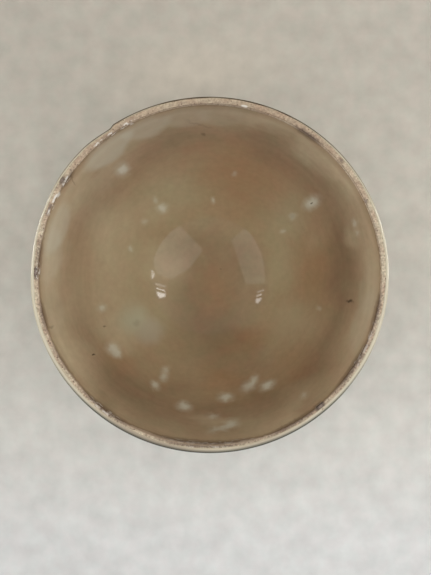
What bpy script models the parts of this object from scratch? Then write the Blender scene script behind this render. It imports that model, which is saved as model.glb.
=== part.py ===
"""Matcha bowl: a thrown stoneware tea bowl on a luted foot ring, glazed inside and outside.

Metres, +Z up. The origin is the centre of the face that the foot stands on.
The clay stays bare along the lip, in a band above the foot, and on the foot itself.
Every outline is a list of (radius, height) points, turned about the Z axis.
"""

import math

import bmesh
import bpy
import numpy as np
from mathutils import Vector
from mathutils.geometry import interpolate_bezier

# Whole bowl
RIM_DIAMETER = 0.122  # across the lip, over the outer glaze
HEIGHT = 0.074  # from the table to the top of the lip

# Clay wall
LIP_WALL = 0.0013  # bare clay between the two glazes at the lip
FLOOR_THICKNESS = 0.0065  # clay under the middle of the well
WELL_RADIUS = 0.046  # curve of the well that the tea is whisked in
WELL_EDGE_SLOPE = math.radians(48)  # where the well runs into the wall
INNER_LIP_SLOPE = math.radians(76)
OUTER_LIP_SLOPE = math.radians(78)
BELLY_SLOPE = math.radians(36)  # where the wall springs from the neck of the foot

# Glaze coats
GLAZE_THICKNESS = 0.0005
BOND_GAP = 0.0003  # between pieces that are fused or luted together
HEM_HEIGHT = 0.0175  # mean height at which the outer glaze stops
HEM_WAVE = 0.0016  # how far the hem ran up and down while molten
HEM_ROLL = 0.0004  # extra thickness where the glaze gathered along the hem
HEM_ROLL_REACH = 0.004  # how far up the wall that roll fades out
HEM_LOBES = ((3, 0.55, 0.4), (5, 0.30, 2.1), (8, 0.15, 4.0))  # waves round the bowl, share, phase

# Foot ring
FOOT_DIAMETER = 0.050  # where the ring meets the floor
FOOT_HEIGHT = 0.007
FOOT_WALL = 0.0060
FOOT_DRAFT = 0.0008  # how much the ring narrows towards the table, on each side
FOOT_BEVEL = 0.0008  # knife cut round the lower edges
NECK_HEIGHT = 0.0030  # clay above the ring, before the wall springs out
NUB_HEIGHT = 0.0012  # point left in the middle of the base by the trimming knife
NUB_RADIUS = 0.0070

# Facets
TURN_STEPS = 64
WELL_STEPS = 6
WALL_STEPS = 7
LIP_STEPS = 5
OUTSIDE_STEPS = 10
FINE_STEPS = 200
WALL_HANDLE = 0.34  # Bezier handles, as a share of the distance that they span
BELLY_HANDLE = 0.25
SHOULDER_HANDLE = 0.41
WELD = 1e-6

# Heights and radii that several pieces share
SEAT_HEIGHT = FOOT_HEIGHT + BOND_GAP
BELLY_HEIGHT = SEAT_HEIGHT + NECK_HEIGHT
COAT = GLAZE_THICKNESS + BOND_GAP
WELL_HEIGHT = SEAT_HEIGHT + FLOOR_THICKNESS + COAT
SHOULDER_HEIGHT = HEIGHT - LIP_WALL / 2
OUTER_CLAY_RADIUS = RIM_DIAMETER / 2 - COAT
INNER_CLAY_RADIUS = OUTER_CLAY_RADIUS - LIP_WALL
FOOT_RADIUS = FOOT_DIAMETER / 2


def bezier(start, start_slope, start_handle, end, end_slope, end_handle, steps):
    """A curve between two (radius, height) points that leaves and arrives at the given slopes."""
    first, last = Vector((*start, 0)), Vector((*end, 0))
    span = (last - first).length
    leave = Vector((math.cos(start_slope), math.sin(start_slope), 0)) * span * start_handle
    arrive = Vector((math.cos(end_slope), math.sin(end_slope), 0)) * span * end_handle
    points = interpolate_bezier(first, first + leave, last - arrive, last, steps + 1)
    return [(point.x, point.y) for point in points]


def moved_out(outline, distances):
    """The outline moved along its right-hand side, which is out and down on a rising wall."""
    points = np.array(outline)
    along = np.gradient(points, axis=0)
    along[0] = (1, 0) if points[0, 0] == 0 else along[0]
    along /= np.linalg.norm(along, axis=1)[:, None]
    side = np.column_stack((along[:, 1], -along[:, 0]))
    return [tuple(point) for point in points + side * np.reshape(distances, (-1, 1))]


def inside_of_glaze():
    """The face that holds the tea, from the middle of the well to the lip."""
    slopes = [WELL_EDGE_SLOPE * step / WELL_STEPS for step in range(WELL_STEPS + 1)]
    well = [
        (WELL_RADIUS * math.sin(slope), WELL_HEIGHT + WELL_RADIUS * (1 - math.cos(slope)))
        for slope in slopes
    ]
    lip = (INNER_CLAY_RADIUS - COAT, SHOULDER_HEIGHT)
    wall = bezier(
        well[-1], WELL_EDGE_SLOPE, WALL_HANDLE, lip, INNER_LIP_SLOPE, WALL_HANDLE, WALL_STEPS
    )
    return well + wall[1:]


def outside_of_clay(steps):
    """The outside of the clay wall, from the neck of the foot to the lip."""
    neck = (FOOT_RADIUS, BELLY_HEIGHT)
    lip = (OUTER_CLAY_RADIUS, SHOULDER_HEIGHT)
    return bezier(neck, BELLY_SLOPE, BELLY_HANDLE, lip, OUTER_LIP_SLOPE, SHOULDER_HANDLE, steps)


def outside_radius(height):
    """The radius of the clay wall's outside at one height, or at several."""
    radii, heights = zip(*outside_of_clay(FINE_STEPS))
    return np.interp(height, heights, radii)


def rounded_lip(inner, outer):
    """The bare half-round lip, between the tops of the two faces of the clay wall."""
    middle = ((inner[0] + outer[0]) / 2, (inner[1] + outer[1]) / 2)
    radius = (outer[0] - inner[0]) / 2
    turns = [math.pi * (1 - step / LIP_STEPS) for step in range(1, LIP_STEPS)]
    return [
        (middle[0] + radius * math.cos(turn), middle[1] + radius * math.sin(turn))
        for turn in turns
    ]


def body_outline():
    """The thrown wall and floor, from the well over the lip and down to the nub under the floor."""
    inside = moved_out(inside_of_glaze(), COAT)
    outside = outside_of_clay(OUTSIDE_STEPS)
    inside[-1] = (INNER_CLAY_RADIUS, SHOULDER_HEIGHT)
    base = [
        (FOOT_RADIUS, SEAT_HEIGHT),
        (NUB_RADIUS, SEAT_HEIGHT),
        (0, SEAT_HEIGHT - NUB_HEIGHT),
    ]
    return inside + rounded_lip(inside[-1], outside[-1]) + outside[::-1] + base


def inner_glaze_outline():
    """The inner coat, from the middle of its back round its edge at the lip to the middle of its face."""
    face = inside_of_glaze()
    return moved_out(face, GLAZE_THICKNESS) + face[::-1]


def outer_glaze_outline():
    """The outer coat, down its face from the lip to the hem and back up against the clay."""
    heights = np.linspace(SHOULDER_HEIGHT, HEM_HEIGHT, OUTSIDE_STEPS + 1)
    clay = list(zip(outside_radius(heights), heights))[::-1]
    gathered = np.clip(1 - (heights[::-1] - HEM_HEIGHT) / HEM_ROLL_REACH, 0, 1)
    face = moved_out(clay, COAT + HEM_ROLL * gathered)
    back = moved_out(clay, BOND_GAP)
    return face[::-1] + back


def foot_outline():
    """The foot ring: a flat top under the floor, drawn-in sides and knife-cut lower edges."""
    top_inner = FOOT_RADIUS - FOOT_WALL
    outer, inner = FOOT_RADIUS - FOOT_DRAFT, top_inner + FOOT_DRAFT
    return [
        (top_inner, FOOT_HEIGHT),
        (FOOT_RADIUS, FOOT_HEIGHT),
        (outer, FOOT_BEVEL),
        (outer - FOOT_BEVEL, 0),
        (inner + FOOT_BEVEL / 2, 0),
        (inner, FOOT_BEVEL / 2),
    ]


def turned(outline, closed):
    """A solid made by turning the outline about the Z axis."""
    mesh = bmesh.new()
    points = [mesh.verts.new((radius, 0, height)) for radius, height in outline]
    ends = points[1:] + points[:1] if closed else points[1:]
    edges = [mesh.edges.new(pair) for pair in zip(points, ends)]
    bmesh.ops.spin(
        mesh,
        geom=points + edges,
        cent=(0, 0, 0),
        axis=(0, 0, 1),
        angle=2 * math.pi,
        steps=TURN_STEPS,
        use_merge=True,
    )
    bmesh.ops.remove_doubles(mesh, verts=mesh.verts, dist=WELD)
    bmesh.ops.recalc_face_normals(mesh, faces=mesh.faces)
    return mesh


def run_hem(mesh):
    """Lets the hem of the outer glaze hang lower in some places than in others, down the wall."""
    for point in mesh.verts:
        angle = math.atan2(point.co.y, point.co.x)
        radius = math.hypot(point.co.x, point.co.y)
        share = (SHOULDER_HEIGHT - point.co.z) / (SHOULDER_HEIGHT - HEM_HEIGHT)
        wave = sum(size * math.sin(lobes * angle + phase) for lobes, size, phase in HEM_LOBES)
        height = point.co.z + HEM_WAVE * wave * share**2
        moved = radius + outside_radius(height) - outside_radius(point.co.z)
        point.co = (moved * math.cos(angle), moved * math.sin(angle), height)


def fired(name, colour, roughness):
    """A fired surface: bare clay or glaze."""
    material = bpy.data.materials.new(name)
    material.use_nodes = True
    shader = material.node_tree.nodes["Principled BSDF"]
    shader.inputs["Base Color"].default_value = (*colour, 1)
    shader.inputs["Roughness"].default_value = roughness
    shader.inputs["Metallic"].default_value = 0
    return material


def add_piece(name, mesh, material, parent):
    """Makes a named object of the mesh, shaded smooth except at its edges."""
    data = bpy.data.meshes.new(name)
    mesh.to_mesh(data)
    mesh.free()
    data.materials.append(material)
    data.shade_smooth()
    data.set_sharp_from_angle(angle=math.radians(40))
    piece = bpy.data.objects.new(name, data)
    bpy.context.scene.collection.objects.link(piece)
    piece.parent = parent


def clear_scene():
    for old in list(bpy.data.objects):
        bpy.data.objects.remove(old)


def build_bowl():
    clear_scene()
    bowl = bpy.data.objects.new("matcha_bowl", None)
    bpy.context.scene.collection.objects.link(bowl)

    bare_clay = fired("bare_stoneware", (0.45, 0.36, 0.27), 0.85)
    trimmed_clay = fired("trimmed_stoneware", (0.40, 0.31, 0.23), 0.9)
    tea_glaze = fired("brown_olive_glaze", (0.22, 0.155, 0.083), 0.12)
    ash_glaze = fired("grey_green_glaze", (0.40, 0.38, 0.29), 0.15)

    outer_glaze = turned(outer_glaze_outline(), closed=True)
    run_hem(outer_glaze)

    add_piece("stoneware_body", turned(body_outline(), closed=False), bare_clay, bowl)
    add_piece("foot_ring", turned(foot_outline(), closed=True), trimmed_clay, bowl)
    add_piece("inner_glaze", turned(inner_glaze_outline(), closed=False), tea_glaze, bowl)
    add_piece("outer_glaze", outer_glaze, ash_glaze, bowl)


build_bowl()
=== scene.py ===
"""Matcha bowl, dressed: thrown stoneware with a worn bare lip, glazed inside and outside.

Metres, +Z up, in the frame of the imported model. Sizes are written in millimetres times MM. Only the tables
of marks, and the values that go with them, are in plain millimetres and degrees.
Each piece is made of rings about the Z axis, and stands for one solid of the frame.
A ring is an array of (radius, height) points, one for each step of the turn.
"""

import math

import bmesh
import bpy
import numpy as np
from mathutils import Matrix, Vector
from mathutils.geometry import intersect_line_sphere


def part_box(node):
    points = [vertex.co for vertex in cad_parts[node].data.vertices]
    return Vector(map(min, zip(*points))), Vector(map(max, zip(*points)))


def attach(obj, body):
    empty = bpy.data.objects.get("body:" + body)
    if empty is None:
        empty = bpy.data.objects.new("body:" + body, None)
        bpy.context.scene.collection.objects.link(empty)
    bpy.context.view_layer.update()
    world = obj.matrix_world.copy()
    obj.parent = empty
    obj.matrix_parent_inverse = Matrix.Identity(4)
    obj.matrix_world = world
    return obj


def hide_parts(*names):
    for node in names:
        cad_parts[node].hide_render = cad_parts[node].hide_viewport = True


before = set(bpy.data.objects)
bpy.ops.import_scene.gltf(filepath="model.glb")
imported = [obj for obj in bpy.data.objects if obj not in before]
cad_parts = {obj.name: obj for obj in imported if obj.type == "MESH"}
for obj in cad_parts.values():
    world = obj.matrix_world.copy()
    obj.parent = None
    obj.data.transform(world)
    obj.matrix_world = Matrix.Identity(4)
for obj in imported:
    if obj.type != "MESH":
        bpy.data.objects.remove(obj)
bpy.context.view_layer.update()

MM = 0.001

# Glaze and clay thicknesses, as in the solids
GLAZE_THICKNESS = 0.5 * MM
BOND_GAP = 0.3 * MM
BITE = 0.08 * MM  # how deep a coat sinks into the clay, so that no light passes between them

# Sizes that the frame gives
RIM_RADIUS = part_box("outer_glaze")[1].x
LIP_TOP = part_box("stoneware_body")[1].z
CLAY_LIP_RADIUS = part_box("stoneware_body")[1].x
INNER_LIP_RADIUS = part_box("inner_glaze")[1].x - GLAZE_THICKNESS
SHOULDER_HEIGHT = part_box("inner_glaze")[1].z
WELL_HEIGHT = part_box("inner_glaze")[0].z + GLAZE_THICKNESS
FOOT_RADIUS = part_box("foot_ring")[1].x
FOOT_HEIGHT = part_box("foot_ring")[1].z

# Curves of the wall, as in the solids
WELL_RADIUS = 46 * MM
WELL_EDGE_SLOPE = math.radians(48)
INNER_LIP_SLOPE = math.radians(76)
OUTER_LIP_SLOPE = math.radians(78)
BELLY_SLOPE = math.radians(36)
WALL_HANDLE = 0.34
BELLY_HANDLE = 0.25
SHOULDER_HANDLE = 0.41
NECK_HEIGHT = 3 * MM
SEAT_HEIGHT = FOOT_HEIGHT + BOND_GAP
BELLY_HEIGHT = SEAT_HEIGHT + NECK_HEIGHT

# Lip: a worn, nearly flat crown of bare clay
LIP_CROWN = 1.0 * MM
LIP_FLATNESS = 2.8  # 2 is a half round, more is flatter
LIP_INSIDE = INNER_LIP_RADIUS + 0.05 * MM
LIP_OUTSIDE = RIM_RADIUS - GLAZE_THICKNESS + BITE
LIP_MIDDLE = (LIP_INSIDE + LIP_OUTSIDE) / 2
LIP_HALF = (LIP_OUTSIDE - LIP_INSIDE) / 2
LIP_BASE = LIP_TOP - LIP_CROWN
LIP_OVAL = 0.44 * MM  # how much narrower the bowl is from front to back, on each side
LIP_DIP = 0.22 * MM  # how far the lip dips between its high points
LIP_GRAIN = 0.025 * MM  # grains of sand that stand out of the bare clay
WALL_END = LIP_BASE - 0.5 * MM  # where the clay behind the coats runs into the lip
CURL_DROP = 2.4 * MM
CURL_START = SHOULDER_HEIGHT - CURL_DROP  # where the coats start to curl over the lip
ROLL_END = SHOULDER_HEIGHT - 0.5 * MM  # where the roll of the outer coat passes into its face

# Edges of the two coats on the lip
INNER_EDGE = 58.20 * MM  # mean radius of the ragged edge of the inner coat
INNER_RAG = 0.08 * MM
INNER_EDGE_DRIFT = 0.34 * MM  # it reaches further over the lip on one side
INNER_EDGE_SIDE = math.radians(62)
OUTER_EDGE = 59.85 * MM  # mean radius of the smooth edge of the outer coat
OUTER_EDGE_DRIFT = 0.70 * MM  # it reaches further over the lip on the near side
OUTER_EDGE_WAVE = 0.10 * MM
EDGE_LIFT = 0.10 * MM  # height of a coat's edge above the clay

# Nick in the outer edge: a steep step on one side and a long slope on the other
NICK_START = math.radians(122.4)
NICK_STEP = math.radians(2.0)
NICK_END = math.radians(135)
NICK_DEPTH = 0.6 * MM
NICK_DROP = 4 * MM

# A stretch of the outer edge that is worn a little flat
FLAT_MIDDLE = math.radians(168)
FLAT_HALF = math.radians(24)
FLAT_DEPTH = 0.4 * MM

# Chips on the lip: angle (degrees), radius, length round the lip, width and depth (mm), and darkness
LIP_CHIPS = (
    (147.3, 59.3, 2.6, 1.7, 0.32, 0.8),
    (179.2, 58.9, 3.8, 1.3, 0.30, 1.0),
    (158.0, 58.7, 4.2, 0.8, 0.16, 0.7),
    (40.9, 59.1, 1.8, 1.2, 0.18, 0.4),
    (25.3, 58.6, 2.4, 0.9, 0.16, 0.5),
    (-49.8, 58.4, 3.6, 1.9, 0.36, 1.0),
)
CHIP_EATEN = 0.45 * MM  # how far a chip eats the edge of the inner coat back
CHIP_EATEN_DEPTH = 0.15 * MM  # depth of a chip that does so in full

# Wheel marks: the spacing of their ridges, how high they stand, and where they fade
INSIDE_RIDGE_SPACING = 5.5 * MM
INSIDE_RIDGE = 0.035 * MM
INSIDE_RIDGE_HEIGHTS = (WELL_HEIGHT + 8 * MM, WELL_HEIGHT + 30 * MM)
OUTSIDE_RIDGE_SPACING = 6.5 * MM
OUTSIDE_RIDGE = 0.11 * MM
OUTSIDE_RIDGE_FADE = 12 * MM

# Hem of the outer coat, as in the solids, with finer runs added
HEM_HEIGHT = 17.5 * MM
HEM_WAVE = 1.6 * MM
HEM_LOBES = ((3, 0.55, 0.4), (5, 0.30, 2.1), (8, 0.15, 4.0))  # waves round the bowl, share, phase
HEM_RUNS = 0.35 * MM
HEM_ROLL = 0.4 * MM
HEM_ROLL_REACH = 4 * MM
HEM_ROUNDING = (-0.2 * MM, 0.9 * MM)  # heights above the hem between which the coat gains its thickness
BAND_TOP = HEM_HEIGHT + HEM_ROLL_REACH  # top of the clay band over the foot, hidden by the coat

# Foot ring
FOOT_WALL = 6 * MM
FOOT_DRAFT = 0.8 * MM
FOOT_BEVEL = 0.8 * MM
FOOT_EDGE_WEAR = 0.7 * MM
SEAM_DEPTH = 0.3 * MM
TRIM_SPACING = 1.3 * MM
TRIM_RIDGE = 0.09 * MM
TRIM_HEIGHTS = (0.2 * MM, 1.5 * MM)  # the face that the bowl stands on is rubbed smooth
BASE_SPIRAL = 2.4 * MM
BASE_RIDGE = 0.16 * MM
NUB_HEIGHT = 1.2 * MM
NUB_RADIUS = 7 * MM
NECK_FILLET = 1.6 * MM

# Facets
TURN_STEPS = 720
FACE_RINGS = 84
BACK_RINGS = 14
CURL_RINGS = 14
LIP_RINGS = 30
BAND_RINGS = 36
FOOT_RINGS = 72
OUTLINE_POINTS = 400
SHARP_ANGLE = math.radians(60)
TURN = np.linspace(0, 2 * math.pi, TURN_STEPS, endpoint=False)


def smooth(value, low, high):
    """0 below low and 1 above high, with a soft passage between them."""
    share = np.clip((value - low) / (high - low), 0, 1)
    return share * share * (3 - 2 * share)


def ripple(lobes, seed):
    """A wavy line round the bowl, mostly between -1 and 1, from waves with these numbers of lobes."""
    random = np.random.default_rng(seed)
    waves = [np.sin(count * TURN + random.uniform(0, 2 * math.pi)) for count in lobes]
    return sum(waves) / math.sqrt(2 * len(waves))


def turn_from(angle):
    """How far each step of the turn lies from an angle, between half a turn back and half a turn on."""
    return (TURN - angle + math.pi) % (2 * math.pi) - math.pi


def distance_along(points):
    """The length to each point of an outline, or to each ring at every step of the turn."""
    steps = np.linalg.norm(np.diff(points, axis=0), axis=-1)
    return np.concatenate((np.zeros_like(steps[:1]), np.cumsum(steps, axis=0)))


def bezier(start, start_slope, start_handle, end, end_slope, end_handle):
    """A curve between two (radius, height) points that leaves and arrives at the given slopes."""
    start, end = np.array(start), np.array(end)
    span = np.linalg.norm(end - start)
    leave = start + span * start_handle * np.array((math.cos(start_slope), math.sin(start_slope)))
    arrive = end - span * end_handle * np.array((math.cos(end_slope), math.sin(end_slope)))
    s = np.linspace(0, 1, OUTLINE_POINTS)[:, None]
    return (1 - s)**3 * start + 3 * (1 - s)**2 * s * leave + 3 * (1 - s) * s**2 * arrive + s**3 * end


def resampled(outline, count):
    """Points at even steps along an outline."""
    outline = np.asarray(outline)
    lengths = distance_along(outline)
    wanted = np.linspace(0, lengths[-1], count)
    return np.column_stack([np.interp(wanted, lengths, column) for column in outline.T])


def softened(outline, reach):
    """The outline with its corners rounded off over the given length. Its ends stay where they are."""
    fine = resampled(outline, OUTLINE_POINTS)
    spacing = np.linalg.norm(np.diff(fine, axis=0), axis=1).mean()
    half = max(1, round(reach / spacing / 2))
    window = np.hanning(2 * half + 3)[1:-1]
    window /= window.sum()
    before = 2 * fine[0] - fine[half:0:-1]
    after = 2 * fine[-1] - fine[-2:-half - 2:-1]
    padded = np.vstack((before, fine, after))
    return np.column_stack([np.convolve(column, window, "valid") for column in padded.T])


def right_side(outline):
    """The direction to the right of an outline at each point: out and down on a rising wall."""
    along = np.gradient(outline, axis=0)
    along /= np.linalg.norm(along, axis=1)[:, None]
    return np.column_stack((along[:, 1], -along[:, 0]))


def moved_out(outline, distance):
    """The outline moved to its right-hand side."""
    return outline + right_side(outline) * np.reshape(distance, (-1, 1))


def around(outline):
    """Repeats an outline at every step of the turn."""
    return np.repeat(np.asarray(outline)[:, None, :], TURN_STEPS, axis=1)


def pushed_in(outline, depth):
    """Rings of an outline, moved against its right-hand side by a depth at every point."""
    return around(outline) - right_side(outline)[:, None, :] * depth[..., None]


def between_heights(outline, low, high):
    """The stretch of a rising outline between two heights."""
    return outline[(outline[:, 1] >= low) & (outline[:, 1] <= high)]


def inside_outline():
    """The face that holds the tea, from the middle of the well to the lip."""
    slopes = np.linspace(0, WELL_EDGE_SLOPE, OUTLINE_POINTS)
    well = np.column_stack((np.sin(slopes), 1 - np.cos(slopes))) * WELL_RADIUS + (0, WELL_HEIGHT)
    lip = (INNER_LIP_RADIUS, SHOULDER_HEIGHT)
    wall = bezier(well[-1], WELL_EDGE_SLOPE, WALL_HANDLE, lip, INNER_LIP_SLOPE, WALL_HANDLE)
    return np.vstack((well, wall[1:]))


def outside_outline():
    """The outside of the clay wall, from the neck of the foot to the lip."""
    neck = (FOOT_RADIUS, BELLY_HEIGHT)
    lip = (CLAY_LIP_RADIUS, SHOULDER_HEIGHT)
    return bezier(neck, BELLY_SLOPE, BELLY_HANDLE, lip, OUTER_LIP_SLOPE, SHOULDER_HANDLE)


def curl(start, bend, end):
    """Rings that run in a curve from one ring to another, drawn towards a third."""
    share = np.linspace(0, 1, CURL_RINGS)[:, None, None]
    return (1 - share)**2 * start + 2 * (1 - share) * share * bend + share**2 * end


def chip_dent(radius):
    """How deep the chips cut into the lip at each step of the turn, at the given radii."""
    dent = np.zeros(np.broadcast_shapes(np.shape(radius), TURN.shape))
    for angle, chip_radius, length, width, depth, _ in LIP_CHIPS:
        along = turn_from(math.radians(angle)) * chip_radius / (length / 2)
        across = (radius / MM - chip_radius) / (width / 2)
        dent = np.maximum(dent, depth * MM * np.clip(1 - along**2 - across**2, 0, 1)**0.5)
    return dent


def on_crown(radius, lift):
    """Rings that follow the bare lip and its chips at the given radii, lifted off the clay by a height."""
    across = np.clip(np.abs(radius - LIP_MIDDLE) / LIP_HALF, 0, 1)
    crown = (1 - across**LIP_FLATNESS)**(1 / LIP_FLATNESS)
    height = LIP_BASE + LIP_CROWN * crown - chip_dent(radius)
    return np.stack((radius, height + lift), axis=-1)


def settled(rings):
    """The rings as the fired bowl has them: a little oval, with dips, a nick and a flat place in the lip.

    The lip is lowered by the lift of the coats' edges as well, so that nothing stands above the solids.
    """
    radius, height = rings[..., 0], rings[..., 1]
    dips = LIP_DIP * (0.5 + 0.5 * ripple((2, 3, 5), seed=4))
    past = turn_from(NICK_START)
    slope = 1 - smooth(past, NICK_STEP, NICK_END - NICK_START)
    nick = NICK_DEPTH * smooth(past, 0, NICK_STEP) * slope
    flat = FLAT_DEPTH * (1 - smooth(np.abs(turn_from(FLAT_MIDDLE)), 0.3 * FLAT_HALF, FLAT_HALF))
    outer_share = smooth(radius, LIP_MIDDLE - LIP_HALF, LIP_MIDDLE + 0.6 * LIP_HALF)
    top_share = smooth(height, LIP_TOP - NICK_DROP, LIP_TOP - LIP_CROWN)
    lowered = height - (dips + EDGE_LIFT) * smooth(height, LIP_TOP / 2, LIP_TOP)
    oval = LIP_OVAL * np.sin(TURN)**2 * radius / RIM_RADIUS * smooth(height, HEM_HEIGHT, LIP_TOP)
    return np.stack((radius - oval - (nick + flat) * outer_share * top_share, lowered), axis=-1)


def run_down(rings):
    """The rings of the outer coat with its hem run down the wall, further in some places than others."""
    radius, height = rings[..., 0], rings[..., 1]
    share = np.clip((SHOULDER_HEIGHT - height) / (SHOULDER_HEIGHT - HEM_HEIGHT), 0, 1)
    waves = sum(size * np.sin(lobes * TURN + phase) for lobes, size, phase in HEM_LOBES)
    runs = HEM_WAVE * waves + HEM_RUNS * ripple((13, 17, 23, 31, 43), seed=9)
    run_height = height + runs * share**2
    wall = outside_outline()
    shift = np.interp(run_height, wall[:, 1], wall[:, 0]) - np.interp(height, wall[:, 1], wall[:, 0])
    return np.stack((radius + shift, run_height), axis=-1)


def wheel_marks(outline, spacing, height):
    """How far a finger left each point of an outline proud of the wall, in one long spiral."""
    along = distance_along(outline)[:, None]
    strength = 0.65 + 0.35 * np.sin(along / spacing * 0.9 + 2 * ripple((1, 2), seed=3))
    return height * strength * np.sin(2 * math.pi * along / spacing + TURN)


def trim_marks(outline, spacing, height):
    """How far a trimming tool cut into each point of an outline: close ridges with a sharp crest."""
    along = distance_along(outline)[:, None]
    wave = np.abs(np.sin(math.pi * along / spacing + TURN / 2))
    wander = 0.7 + 0.5 * ripple((2, 3, 7, 11), seed=12)
    return height * wander * (wave - 0.6)


def add_piece(name, rings, closed, material, node, marks=None):
    """Makes a closed mesh of the rings and lets it stand for a solid of the frame.

    A closed outline runs back into its first ring. An open one starts and ends on the Z axis.
    Marks are lengths, one for each point, that the material reads by name.
    """
    radius, height = rings[..., 0], rings[..., 1]
    points = np.stack((radius * np.cos(TURN), radius * np.sin(TURN), height), axis=-1).reshape(-1, 3)
    here = np.arange(len(points)).reshape(-1, TURN_STEPS)
    if closed:
        here = np.vstack((here, here[:1]))
    beside = np.roll(here, -1, axis=1)
    faces = np.stack((here[:-1], beside[:-1], beside[1:], here[1:]), axis=-1).reshape(-1, 4).tolist()
    if not closed:
        first_pole, last_pole = len(points), len(points) + 1
        points = np.vstack((points, (0, 0, height[0].mean()), (0, 0, height[-1].mean())))
        faces += [(first_pole, right, left) for left, right in zip(here[0], beside[0])]
        faces += [(last_pole, left, right) for left, right in zip(here[-1], beside[-1])]
    data = bpy.data.meshes.new(name)
    data.from_pydata(points.tolist(), [], faces)
    mesh = bmesh.new()
    mesh.from_mesh(data)
    bmesh.ops.recalc_face_normals(mesh, faces=mesh.faces)
    mesh.to_mesh(data)
    mesh.free()
    for mark, lengths in (marks or {}).items():
        values = np.pad(lengths.ravel(), (0, len(points) - lengths.size), mode="edge")
        data.attributes.new(mark, "FLOAT", "POINT").data.foreach_set("value", values.astype(np.float32))
    data.shade_smooth()
    data.set_sharp_from_angle(angle=SHARP_ANGLE)
    data.materials.append(material)
    piece = bpy.data.objects.new(name, data)
    bpy.context.scene.collection.objects.link(piece)
    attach(piece, "root")
    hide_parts(node)


def thrown_body(material):
    """The clay: hidden behind the coats, bare along the lip, above the foot and under the floor."""
    inside = moved_out(inside_outline(), GLAZE_THICKNESS - BITE)
    inside = resampled(between_heights(inside, 0, WALL_END), BACK_RINGS)
    inside[0, 0] = BITE

    sweep = np.linspace(math.pi, 0, LIP_RINGS)
    across = np.sign(np.cos(sweep)) * np.abs(np.cos(sweep))**(2 / LIP_FLATNESS)
    lip_radius = np.repeat((LIP_MIDDLE + LIP_HALF * across)[:, None], TURN_STEPS, axis=1)
    grain = LIP_GRAIN * np.random.default_rng(21).uniform(-1, 1, lip_radius.shape)
    lip = on_crown(lip_radius, grain)

    wall = moved_out(outside_outline(), BOND_GAP)
    hidden = resampled(between_heights(wall, BAND_TOP, WALL_END)[::-1], BACK_RINGS)
    spring = between_heights(wall, 0, BAND_TOP)[::-1]
    seam = ((FOOT_RADIUS, BELLY_HEIGHT), (FOOT_RADIUS, SEAT_HEIGHT + 2 * SEAM_DEPTH))
    edge = (FOOT_RADIUS - SEAM_DEPTH, SEAT_HEIGHT)
    band_outline = resampled(softened(np.vstack((spring, seam, edge)), NECK_FILLET), BAND_RINGS)
    band = pushed_in(band_outline, -trim_marks(band_outline, TRIM_SPACING, TRIM_RIDGE))

    nub = (
        (NUB_RADIUS, SEAT_HEIGHT),
        (0.3 * NUB_RADIUS, SEAT_HEIGHT - 0.8 * NUB_HEIGHT),
        (BITE, SEAT_HEIGHT - NUB_HEIGHT),
    )
    base_outline = resampled(softened(np.vstack((edge, nub)), NECK_FILLET), BAND_RINGS)[1:]
    base = pushed_in(base_outline, trim_marks(base_outline, BASE_SPIRAL, BASE_RIDGE))
    base[-1, :, 1] = base[-1, :, 1].mean()

    rings = settled(np.concatenate((around(inside), lip, around(hidden)[1:], band[1:], base)))
    add_piece("thrown_body", rings, False, material, "stoneware_body")


def inner_coat(material):
    """The glaze inside: it runs up the wall, curls over the lip and stops there at a ragged edge."""
    outline = inside_outline()
    face_outline = resampled(between_heights(outline, 0, CURL_START), FACE_RINGS)
    face_outline[0, 0] = BITE
    wall_share = smooth(face_outline[:, 1], *INSIDE_RIDGE_HEIGHTS)[:, None]
    ridges = wheel_marks(face_outline, INSIDE_RIDGE_SPACING, INSIDE_RIDGE)
    face = pushed_in(face_outline, wall_share * ridges)

    rag = 0.6 * ripple(range(37, 250, 9), seed=5) + 0.6 * ripple((5, 9, 14, 22), seed=6)
    eaten = smooth(chip_dent(np.full(TURN_STEPS, INNER_EDGE)), 0, CHIP_EATEN_DEPTH)
    drift = INNER_EDGE_DRIFT * np.maximum(np.cos(turn_from(INNER_EDGE_SIDE)), 0)**2
    edge_radius = INNER_EDGE + INNER_RAG * rag + drift - CHIP_EATEN * eaten
    rising = face_outline[-1] - face_outline[-2]
    rising /= np.linalg.norm(rising)
    bend = face[-1] + rising * CURL_DROP
    shown = np.concatenate((face, curl(face[-1], bend, on_crown(edge_radius, EDGE_LIFT))[1:]))

    under_edge = on_crown(edge_radius + 2 * BITE, -BITE)
    back_outline = moved_out(outline, GLAZE_THICKNESS)
    back = resampled(between_heights(back_outline, 0, CURL_START)[::-1], BACK_RINGS)
    back[-1, 0] = BITE

    rings = settled(np.concatenate((shown, under_edge[None], around(back))))
    lengths = distance_along(shown)
    below_lip = np.concatenate((lengths[-1] - lengths, np.zeros((BACK_RINGS + 1, TURN_STEPS))))
    marks = {"below_lip": below_lip}
    add_piece("inner_glaze_coat", rings, False, material, "inner_glaze", marks)


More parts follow.
